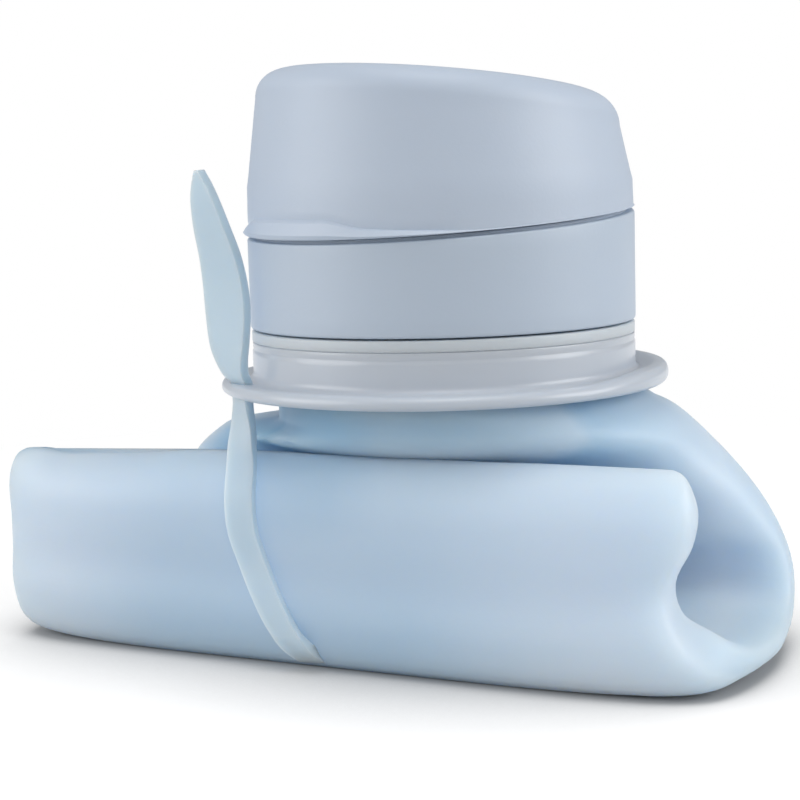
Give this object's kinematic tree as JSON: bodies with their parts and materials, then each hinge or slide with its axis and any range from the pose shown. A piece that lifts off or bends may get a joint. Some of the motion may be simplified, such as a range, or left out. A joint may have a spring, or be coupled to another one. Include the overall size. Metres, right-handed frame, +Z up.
{
  "type": "collapsible water bottle",
  "caption": "Folded silicone water bottle with a clamped neck collar, screw band, hinged flip lid and a strap that holds it rolled.",
  "frame": {"origin": "on the floor under the lid's axis, on the folded body's flat underside", "axes": "+X along the fold, to the side where the loop shows, +Y to the back, +Z up"},
  "size_m": [0.1346, 0.0768, 0.0969],
  "materials": {
    "body_silicone": "satin, translucent",
    "strap_silicone": "satin, translucent",
    "seal_silicone": "satin",
    "cap_plastic": "fine matte",
    "collar_plastic": "gloss",
    "inner_plastic": "satin",
    "pin_steel": "drawn"
  },
  "bodies": {
    "bottle": {"bottle_body": "body_silicone", "strap": "strap_silicone", "collar": "collar_plastic", "neck_insert": "inner_plastic", "neck_lip_seal": "seal_silicone"},
    "cap_seal": {"cap_gasket": "seal_silicone"},
    "screw_lid": {"screw_cap": "cap_plastic", "spout": "inner_plastic", "hinge_pin": "pin_steel"},
    "flip_lid": {"flip_cap": "cap_plastic", "stopper_holder": "inner_plastic", "spout_stopper": "seal_silicone"}
  },
  "joints": [
    {"name": "cap_lift", "type": "slide", "parent": "bottle", "child": "cap_seal", "axis": [0, 0, 1], "range_m": [0, 0.00562]},
    {"name": "cap_turn", "type": "hinge", "parent": "cap_seal", "child": "screw_lid", "pos_m": [0, 0, 0.058], "axis": [0, 0, 1], "range_deg": [0, 450]},
    {"name": "flip_open", "type": "hinge", "parent": "screw_lid", "child": "flip_lid", "pos_m": [0.01088, 0.03348, 0.07322], "axis": [-0.9511, 0.309, 0], "range_deg": [0, 120]}
  ],
  "couplings": [
    {"joint": "cap_turn", "follows": "cap_lift", "rad_per_m": 1396.3}
  ]
}
